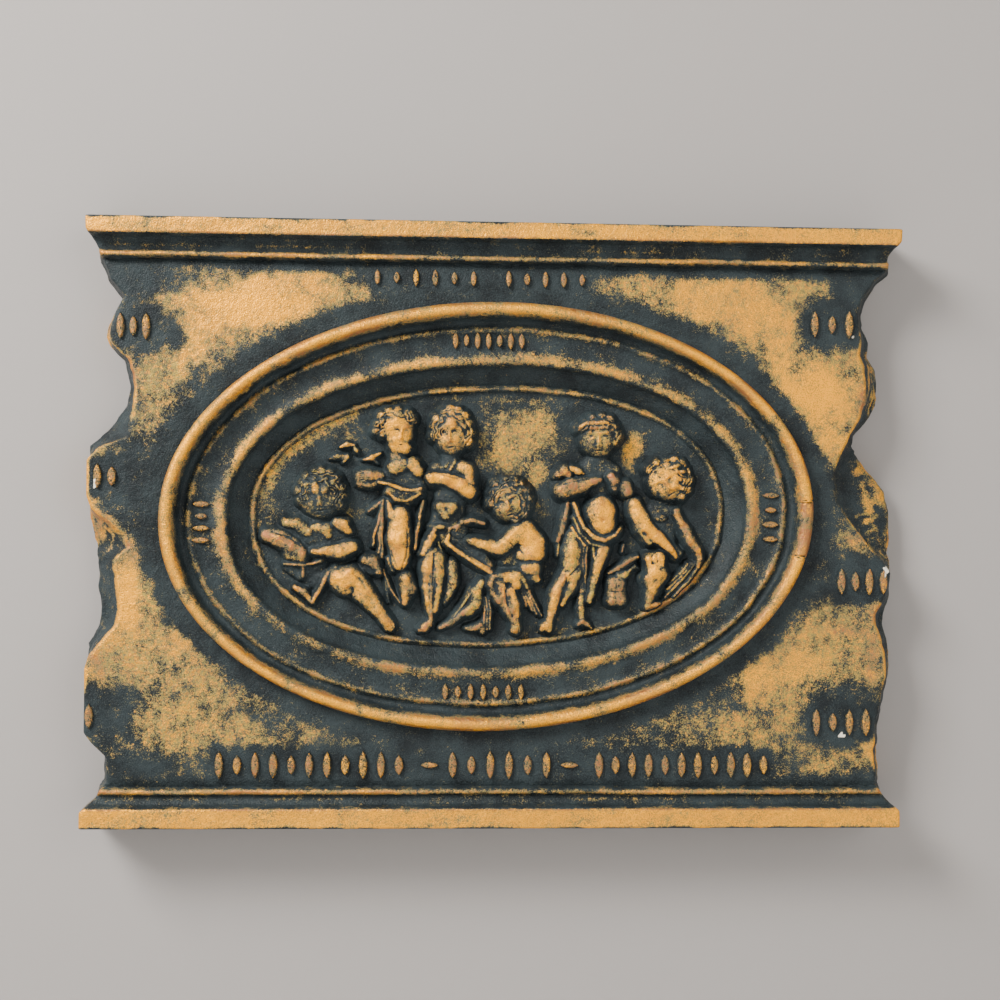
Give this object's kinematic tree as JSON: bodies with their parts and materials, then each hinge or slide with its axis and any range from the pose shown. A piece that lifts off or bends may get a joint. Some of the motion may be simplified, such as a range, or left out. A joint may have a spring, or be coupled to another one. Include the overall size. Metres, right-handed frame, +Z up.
{
  "type": "relief wall plaque",
  "caption": "Cast relief wall plaque with a moulding above and below, broken side edges and an oval ring round a sunk panel of putti.",
  "frame": {"origin": "middle of the plaque's flat back, half way up and half way across", "axes": "+X across the plaque to the viewer's right, +Z up, +Y out of the back into the wall; the face looks along -Y"},
  "size_m": [0.258, 0.0215, 0.19],
  "materials": {
    "patinated_plaster": "cast plaster, dark blue-black patina dry-brushed with warm gold on the raised parts and in broad soft patches on the field"
  },
  "bodies": {
    "root": {"relief_plaque": "patinated_plaster"}
  },
  "joints": []
}
